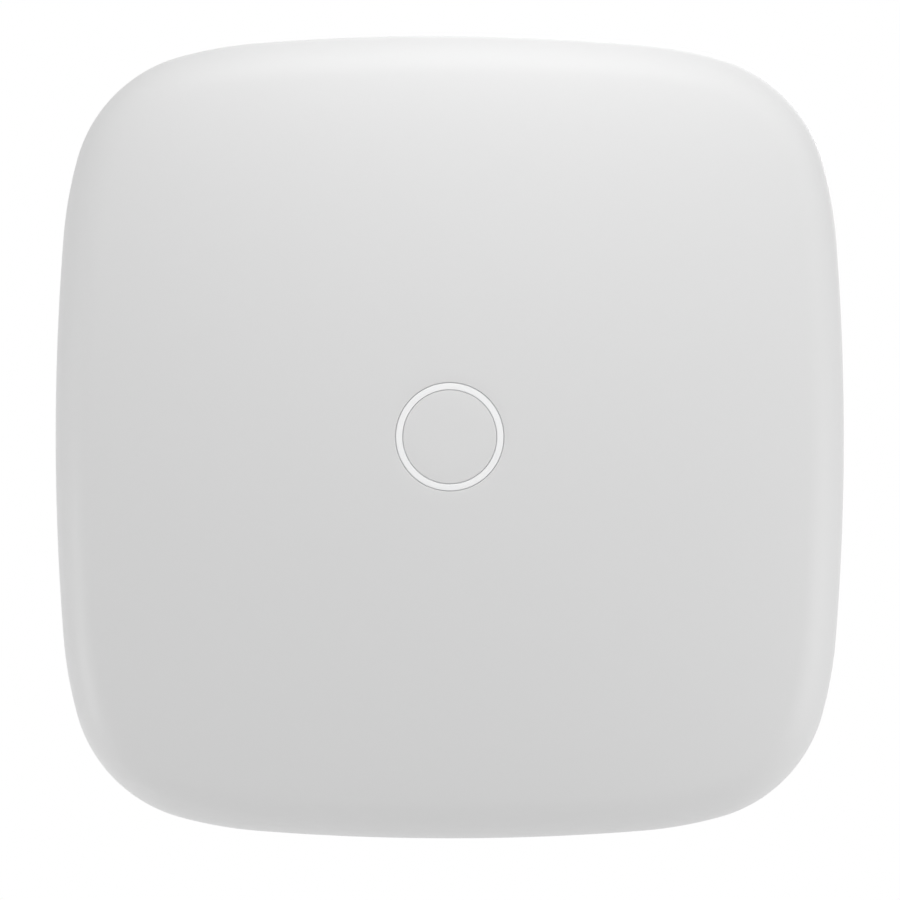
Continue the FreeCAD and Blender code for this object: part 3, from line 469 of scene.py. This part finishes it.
def coverGrid():
    # One closed section is carried round the outline: each point is outline(turn) - inset*normal(turn), at a
    # level. Past the crown the squircle shrinks along straight rays to the round hole, and the dome dies away
    # as rise*exp(-distance/length). The inner skin is the same section one wall further in.
    turn = coverTurns()
    edge, normal = outlineAt(turn)
    low = rimLevel(edge)
    lean = math.radians(cover["draft"])
    radius, crown, reach, depth = (cover[k] for k in ("shoulderRadius", "crownRadius", "crownReach", "depth"))
    tilt = math.asin((reach-radius)/(crown-radius))
    centre = np.array([reach-(crown-radius)*math.sin(tilt), depth-crown+(crown-radius)*math.cos(tilt)])
    rows = []

    def row(inset, level):
        inset, level = np.broadcast_to(inset, turn.shape), np.broadcast_to(level, turn.shape)
        rows.append(np.concatenate([edge-inset[:, None]*normal, level[:, None]], -1))

    def shoulderPoint(within, angle):
        return centre[0]-(radius-within)*math.sin(angle), centre[1]+(radius-within)*math.cos(angle)

    def skirtInset(level, within):
        start = centre[1]-radius*math.sin(lean)
        return (start-level)*math.tan(lean)+radius*(1-math.cos(lean))+within/math.cos(lean)

    startInset, startLevel = shoulderPoint(0, tilt)
    rise = depth-startLevel
    fade = rise/math.tan(tilt)

    def domeLevel(inset):
        return depth-rise*np.exp(-(inset-startInset)/fade)

    def shrunk(part, level, holeSize):  # a ring of the face, this part of the way in to the hole
        base = edge-reach*normal
        size = np.linalg.norm(base, axis=1, keepdims=True)
        radial = base/size*(holeSize+(size-holeSize)*(1-part))
        rows.append(np.concatenate([radial, np.full((turn.size, 1), level)], -1))

    # outer skin, from the hole's rounded edge over the face, crown and shoulder to the skirt
    hole, soft = cover["holeRadius"], cover["holeEdge"]
    for angle in np.radians(np.linspace(0, 90, coverRows["hole"])):
        shrunk(1.0, depth-soft+soft*math.sin(angle), hole+soft-soft*math.cos(angle))
    for part in stepsTo(1, 0, "face"):
        shrunk(part, domeLevel(reach+part*(cover["width"]/2-hole-reach)), hole+soft)
    for inset in stepsTo(reach, startInset, "crown"):
        row(inset, domeLevel(inset))
    for angle in stepsTo(tilt, math.pi/2+lean, "shoulder"):
        row(*shoulderPoint(0, angle))
    outerStart = shoulderPoint(0, math.pi/2+lean)[1]
    wall, rim = cover["wall"], cover["rimEdge"]
    for part in stepsTo(0, 1, "skirt"):
        level = outerStart+(low+rim-outerStart)*part
        row(skirtInset(level, 0), level)
    # round the rim and back up inside
    for angle in np.radians((30, 60, 90)):
        level = low+rim*(1-math.sin(angle))
        row(skirtInset(level, 0)+rim*(1-math.cos(angle)), level)
    for angle in np.radians((90, 60, 30, 0)):
        level = low+rim*(1-math.sin(angle))
        row(skirtInset(level, wall)-rim*(1-math.cos(angle)), level)
    innerStart = shoulderPoint(wall, math.pi/2+lean)[1]
    for part in stepsTo(0, 1, "innerSkirt"):
        level = low+rim+(innerStart-low-rim)*part
        row(skirtInset(level, wall), level)
    for angle in stepsTo(math.pi/2+lean, tilt, "innerShoulder"):
        row(*shoulderPoint(wall, angle))
    innerInset, innerLevel = shoulderPoint(wall, tilt)
    innerDepth = depth-wall
    for part in stepsTo(0, 1, "innerCrown"):
        row(innerInset+(reach-innerInset)*part, innerDepth-(innerDepth-innerLevel)*(1-part)**2)
    for part in stepsTo(0, 1, "innerFace"):
        shrunk(part, innerDepth, hole)
    return np.stack(rows)


frontCover = surfacePiece("frontCover", [coverGrid()], "hub", finishes["caseWhite"], ["front_cover"],
                          closeRows=True, sharp=50.0)
print("front cover:", len(frontCover.data.polygons), "faces")


# Screw bosses of the cover

boss = dict(x=57.0, y=57.0, radius=4.0, bore=1.5, low=12.3, root=0.6, deep=9.0, lip=0.4, draft=0.25, sides=32)


def bossGrid(x, y):
    # turned section: a tube with a rounded mouth and a blind bore, its root buried in the wall's thickness
    outer, bore, low, lip = (boss[k] for k in ("radius", "bore", "low", "lip"))
    high = cover["depth"]-cover["wall"]+boss["root"]
    floor = high-boss["deep"]
    mouth = [quarter((bore+lip, low+lip), lip, 180, 270), quarter((outer-lip, low+lip), lip, 270, 360)]
    profile = section((0, floor), (bore, floor), (bore, low+lip), *mouth,
                      (outer+boss["draft"], high), (0, high))
    return turned(profile, x, y, boss["sides"])


surfacePiece("coverBosses", [bossGrid(x, y) for x, y in inQuarters(boss["x"], boss["y"])], "hub",
             finishes["caseWhite"])


# Light ring and disc in the middle of the face

light = dict(ringRadius=11.0, ringWidth=1.3, gap=0.15, flangeRadius=13.5, flange=1.6, flangeEdge=0.2,
             edge=0.16, edgeSteps=5, discLift=0.01, discRings=(0.6, 0.3, 0), ringSides=160, discSides=128)


def lensGrid():
    # turned section: a flange behind the face, and the ring that stands up through it with rounded lips
    outer, inner, edge = light["ringRadius"], light["ringRadius"]-light["ringWidth"], light["edge"]
    top, seat = cover["depth"], cover["depth"]-cover["wall"]
    low, flange, soft = seat-light["flange"], light["flangeRadius"], light["flangeEdge"]
    profile = section((0, low), (flange-soft, low), (flange, low+soft), (flange, seat), (outer, seat),
                      quarter((outer-edge, top-edge), edge, 0, 90, light["edgeSteps"]),
                      quarter((inner+edge, top-edge), edge, 90, 180, light["edgeSteps"]),
                      (inner, seat), (0, seat))
    return turned(profile, 0, 0, light["ringSides"])


def discGrid():
    # turned section: a plain disc whose edge is rounded as the face's own edge is
    radius, edge = light["ringRadius"]-light["ringWidth"]-light["gap"], light["edge"]
    top, low = cover["depth"], cover["depth"]-cover["wall"]+light["discLift"]
    rounded = quarter((radius-edge, top-edge), edge, 0, 90, light["edgeSteps"])
    profile = section((0, low), (radius, low), rounded, [(radius*ring, top) for ring in light["discRings"]])
    return turned(profile, 0, 0, light["discSides"])


surfacePiece("lightRing", [lensGrid()], "hub", finishes["milkyLens"], ["light_ring_lens"])
surfacePiece("faceDisc", [discGrid()], "hub", finishes["faceWhite"], ["face_disc"])
print("light ring and disc placed")


# Moulded parts behind the cover: CAD forms whose edges are rounded by this width

softParts = {
    "bracketTray": dict(node="mounting_bracket", body="bracket", finish="trayWhite", width=0.16),
    "hookSet": dict(node="bracket_hooks", body="bracket", finish="trayWhite", width=0.25),
    "rearShell": dict(node="rear_housing", body="hub", finish="housingWhite", width=0.2),
    "clampBar": dict(node="cable_clamp", body="hub", finish="housingWhite", width=0.3),
    "inletBody": dict(node="mains_inlet", body="hub", finish="connectorBlack", width=0.2,
                      slot="black_plastic"),
    "batteryPouch": dict(node="battery_cell", body="hub", finish="batteryFoil", width=0.6,
                         slot="battery_wrap", segments=3),
}
softAngles = dict(flat=0.6, sharp=32.0, rounded=34.0)  # degrees between faces


def softened(name, part):
    # a merged copy of a CAD node whose flat faces are joined again, with its moulded edges rounded
    # points closer than 0.08 mm become one, because a shorter edge can't take the rounding
    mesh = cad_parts[part["node"]].data.copy()
    mesh.name = name
    work = merged(mesh, joinWithin["mould"])
    bmesh.ops.dissolve_limit(work, angle_limit=math.radians(softAngles["flat"]), verts=work.verts,
                             edges=work.edges)
    work.to_mesh(mesh)
    work.free()
    piece = placed(name, mesh, part["body"], finishes[part["finish"]], [part["node"]],
                   softAngles["sharp"])
    edge = piece.modifiers.new("softEdges", "BEVEL")
    edge.width = part["width"]*0.001
    edge.segments = part.get("segments", 2)
    edge.limit_method = "ANGLE"
    edge.angle_limit = math.radians(softAngles["rounded"])


for name, part in softParts.items():
    softened(name, part)
print("moulded parts softened:", len(softParts))


# Collars that make the tray's screw seats round

seats = dict(x=45.0, y=52.0, inner=5.6, outer=6.52, foot=1.9, top=0.02, edge=0.25, edgeSteps=6, sides=96)


def seatGrid(x, y):
    # turned section, closed on itself: a collar from the tray's floor to the wall, with a rounded outer lip
    inner, outer, foot, top, edge = (seats[k] for k in ("inner", "outer", "foot", "top", "edge"))
    lip = quarter((outer-edge, top+edge), edge, 0, -90, seats["edgeSteps"])
    return turned(section((inner, foot), (outer, foot), lip, (inner, top)), x, y, seats["sides"])


surfacePiece("seatCollars", [seatGrid(x, y) for x, y in inQuarters(seats["x"], seats["y"])], "bracket",
             finishes["trayWhite"], closeRows=True)
print("seat collars placed")


# Screws

screws = {
    "caseScrewSet": dict(node="case_screws", low=5.0, headHeight=2.0, headRadius=2.8, shank=1.5, end=22.3,
                         pitch=1.3, places=inQuarters(57.0, 57.0)),
    "clampScrewSet": dict(node="clamp_screws", low=8.8, headHeight=1.8, headRadius=2.6, shank=1.1, end=18.9,
                          pitch=1.0, places=[(-13.0, -60.0), (13.0, -60.0)]),
    "mainBoardScrewSet": dict(node="main_board_screws", low=23.0, headHeight=1.4, headRadius=2.1, shank=1.1,
                              end=14.0, pitch=1.0,
                              places=[(-12.0, 43.0), (58.0, 43.0), (58.0, -21.0), (-12.0, -22.0)]),
    "mainsBoardScrewSet": dict(node="mains_board_screws", low=23.0, headHeight=1.4, headRadius=2.1, shank=1.1,
                               end=14.0, pitch=1.0, places=[(-60.0, 40.0), (-23.0, 40.0), (-46.0, -22.5)]),
}
screwForm = dict(sides=40, headRows=15, domeEdge=0.93, domeRise=0.16, armHalf=0.13, armReach=0.62,
                 crossDepth=0.62, crossFade=0.35, lipTop=0.34, lipLow=0.94, underEdge=0.97, neck=0.86,
                 core=0.8, ridge=0.2, ridgeSlope=3.2, tip=1.4, threadFrom=0.02, threadTo=0.985,
                 rowsPerPitch=7, leastRows=24)


def screwGrid(look, x, y):
    # Head: a domed disc with a cross sunk in it, depth where either arm's distance is under its half width.
    # Shank: radius plus a rounded ridge that climbs one pitch a turn, and shrinks to a point at the end.
    form = screwForm
    turn = np.linspace(0, tau, form["sides"], endpoint=False)
    sense = 1 if look["end"] > look["low"] else -1
    low, tall, head, shank = look["low"], look["headHeight"], look["headRadius"], look["shank"]
    rows = []

    def row(radius, along):
        radius, along = np.broadcast_to(radius, turn.shape), np.broadcast_to(along, turn.shape)
        rows.append(np.stack([x+radius*np.cos(turn), y+radius*np.sin(turn), low+sense*along], -1))

    for share in np.linspace(0, form["domeEdge"], form["headRows"]):
        radius = head*share
        across, along = np.abs(radius*np.cos(turn)), np.abs(radius*np.sin(turn))
        arm = np.minimum(across, along) < head*form["armHalf"]
        sunk = arm & (np.maximum(across, along) < head*form["armReach"])
        dome = tall*form["domeRise"]*share**2
        row(radius, dome+np.where(sunk, tall*form["crossDepth"]*(1-form["crossFade"]*share), 0))
    row(head, tall*form["lipTop"])
    row(head, tall*form["lipLow"])
    row(head*form["underEdge"], tall)
    row(shank*form["neck"], tall)
    length = abs(look["end"]-low)-tall
    count = max(form["leastRows"], int(length/look["pitch"]*form["rowsPerPitch"]))
    for share in np.linspace(form["threadFrom"], form["threadTo"], count):
        along = length*share
        phase = (along/look["pitch"]-turn/tau) % 1
        ridge = np.clip(1-np.abs(phase-0.5)*form["ridgeSlope"], 0, 1)
        point = min(1.0, (1-share)*length/form["tip"])
        row((shank*form["core"]+shank*form["ridge"]*ridge)*point, tall+along)
    row(0, tall+length)
    return np.stack(rows)


for name, look in screws.items():
    surfacePiece(name, [screwGrid(look, x, y) for x, y in look["places"]], "hub", finishes["platedSteel"],
                 [look["node"]], sharp=35.0)
print("screws placed:", sum(len(look["places"]) for look in screws.values()))


# Pins of the mains socket

pins = dict(x=-30.0, pitch=8.6, radius=1.2, z=14.0, low=-26.0, high=-10.0, nose=0.8, noseStart=0.35,
            noseRows=6, sides=32)


def pinGrid(x):
    # turned section along the wall: a round bar whose free end is a short bullet nose, nose*(1 - cos(bend))
    # along by radius*sin(bend) across
    bend = np.linspace(pins["noseStart"], math.pi/2, pins["noseRows"])
    along = np.concatenate([[0], pins["nose"]*(1-np.cos(bend)), [pins["high"]-pins["low"]]*2])
    across = pins["radius"]*np.concatenate([[0], np.sin(bend), [1, 0]])
    turn = np.linspace(0, tau, pins["sides"], endpoint=False)
    return np.stack([x+across[:, None]*np.cos(turn),
                     np.broadcast_to(pins["low"]+along[:, None], (along.size, turn.size)),
                     pins["z"]+across[:, None]*np.sin(turn)], -1)


surfacePiece("socketPins", [pinGrid(pins["x"]+side*pins["pitch"]/2) for side in (-1, 1)], "hub",
             finishes["platedBrass"], ["inlet_pins"], sharp=50.0)
print("socket pins placed")


# Finishes of the CAD parts that stay as they are

nodeFinishes = {
    "caseWhite": ["light_baffle"],
    "ledResin": ["status_leds"],
    "solderResist": ["main_board", "mains_board"],
    "platedSteel": ["lan_jack_shell", "sim_holder_shell"],
    "springWire": ["tamper_spring"],
    "tinnedShield": ["modem_shield", "radio_shield", "radio_antenna_left", "radio_antenna_right"],
    "platedBrass": ["lan_jack_contacts"],
    "connectorBlack": ["lan_jack_insert", "sim_holder_base", "power_switch", "tamper_switch"],
    "buttonGrey": ["power_button_cap", "power_switch_actuator", "tamper_plunger"],
    "cellFoam": ["battery_pad"],
    "headerCream": ["battery_header", "mains_side_header", "main_side_header"],
    "leadRed": ["battery_lead", "dc_harness"],
    "ferriteTape": ["transformer", "fuse"],
    "canSleeve": ["input_capacitors", "output_capacitors"],
    "copperWinding": ["choke"],
    "chipEpoxy": ["rectifier", "processor", "lan_magnetics"],
    "insulatingFilm": ["mains_insulator", "board_divider"],
}
for finish, nodes in nodeFinishes.items():
    for node in nodes:
        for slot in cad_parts[node].material_slots:
            slot.material = finishes[finish]
print("finishes given to", sum(len(nodes) for nodes in nodeFinishes.values()), "CAD parts")


# Floor, light and camera

white = (1, 1, 1, 1)
studio = dict(floorLevel=-0.26, floorRadius=2.6, floorSides=96, floorColour=(0.92, 0.92, 0.92, 1),
              paleFrom=0.06, paleGlow=0.5, whiteFrom=0.38, ambient=0.52, lampAim=(0, -0.02, 0))
lamps = {  # place and size in metres, power in watts
    "topNear": ((0.0, -0.12, 0.18), 0.16, 0.087),
    "topFar": ((0.0, -0.2, 0.18), 0.25, 0.039),
    "topRight": ((0.1, -0.2, 0.18), 0.25, 0.092),
    "rightHigh": ((0.25, -0.12, 0.1), 0.16, 0.03),
    "rightLow": ((0.25, -0.12, -0.08), 0.16, 0.107),
    "leftLow": ((-0.6, -0.2, -0.16), 0.16, 0.6),
    "behind": ((0.30, 0.80, 0.40), 0.6, 3.2),
}
view = dict(place=(0.00005, -1.02464, -0.00269), lens=193.4, sensor=36.0, near=0.05, far=20.0)


def whereSeen(paint):  # 1 for camera, glossy and transmission rays, 0 for those that light the panel
    rays = paint.node("ShaderNodeLightPath").outputs
    kinds = ("Is Camera Ray", "Is Glossy Ray", "Is Transmission Ray")
    camera, glossy, through = (Wire(paint, rays[kind]) for kind in kinds)
    return camera.most(glossy).most(through)


def studioFloor():
    # a disc under the panel: pale and matt, so that it takes the shadow, and lost in white towards its edge
    radius, sides = studio["floorRadius"], studio["floorSides"]
    turn = np.linspace(0, tau, sides, endpoint=False)
    ring = np.stack([np.cos(turn)*radius, np.sin(turn)*radius, np.full(sides, studio["floorLevel"])], -1)
    mesh = bpy.data.meshes.new("studioFloor")
    mesh.from_pydata(ring.tolist(), [], [list(range(sides))])
    paint = newPaint("floorWhite")
    x, y = paint.axes()[:2]
    reach = (x*x+y*y)**0.5
    fade = paint.ramp(reach, [(studio["paleFrom"], studio["paleGlow"]), (studio["whiteFrom"], 1.0)])
    matt = paint.node("ShaderNodeBsdfDiffuse", None, {"Color": studio["floorColour"]})
    glow = paint.node("ShaderNodeEmission", None, {"Color": white, "Strength": 1.0})
    mesh.materials.append(paint.send(paint.between(fade*whereSeen(paint), matt, glow)))
    added("studioFloor", mesh)


def whiteWorld():
    world = bpy.data.worlds.new("studioWorld")
    bpy.context.scene.world = world
    paint = Paint(world, "World")
    ambient = paint.node("ShaderNodeBackground", None, {"Color": white, "Strength": studio["ambient"]})
    seen = paint.node("ShaderNodeBackground", None, {"Color": white, "Strength": 1.0})
    paint.send(paint.between(whereSeen(paint), ambient, seen))


def softBox(name, place, size, power):  # a round lamp that faces the panel, and that the camera doesn't see
    lamp = bpy.data.lights.new(name, "AREA")
    lamp.shape = "DISK"
    lamp.size = size
    lamp.energy = power
    holder = added(name, lamp)
    back = np.array(place)-np.array(studio["lampAim"])
    side = np.cross([0, 0, 1], back)
    side = side/np.linalg.norm(side)
    back = back/np.linalg.norm(back)
    over = np.cross(back, side)
    holder.visible_camera = False
    holder.matrix_world = Matrix([(side[i], over[i], back[i], place[i]) for i in range(3)]+[(0, 0, 0, 1)])


def frontCamera():
    camera = bpy.data.cameras.new("frontCamera")
    camera.sensor_width = view["sensor"]
    camera.lens = view["lens"]
    camera.clip_start, camera.clip_end = view["near"], view["far"]
    holder = added("frontCamera", camera)
    holder.location = view["place"]
    holder.rotation_euler = (math.pi/2, 0, 0)
    bpy.context.scene.camera = holder


studioFloor()
whiteWorld()
for name, (place, size, power) in lamps.items():
    softBox(name, place, size, power)
frontCamera()
bpy.context.scene.view_settings.view_transform = "Standard"
print("studio ready")
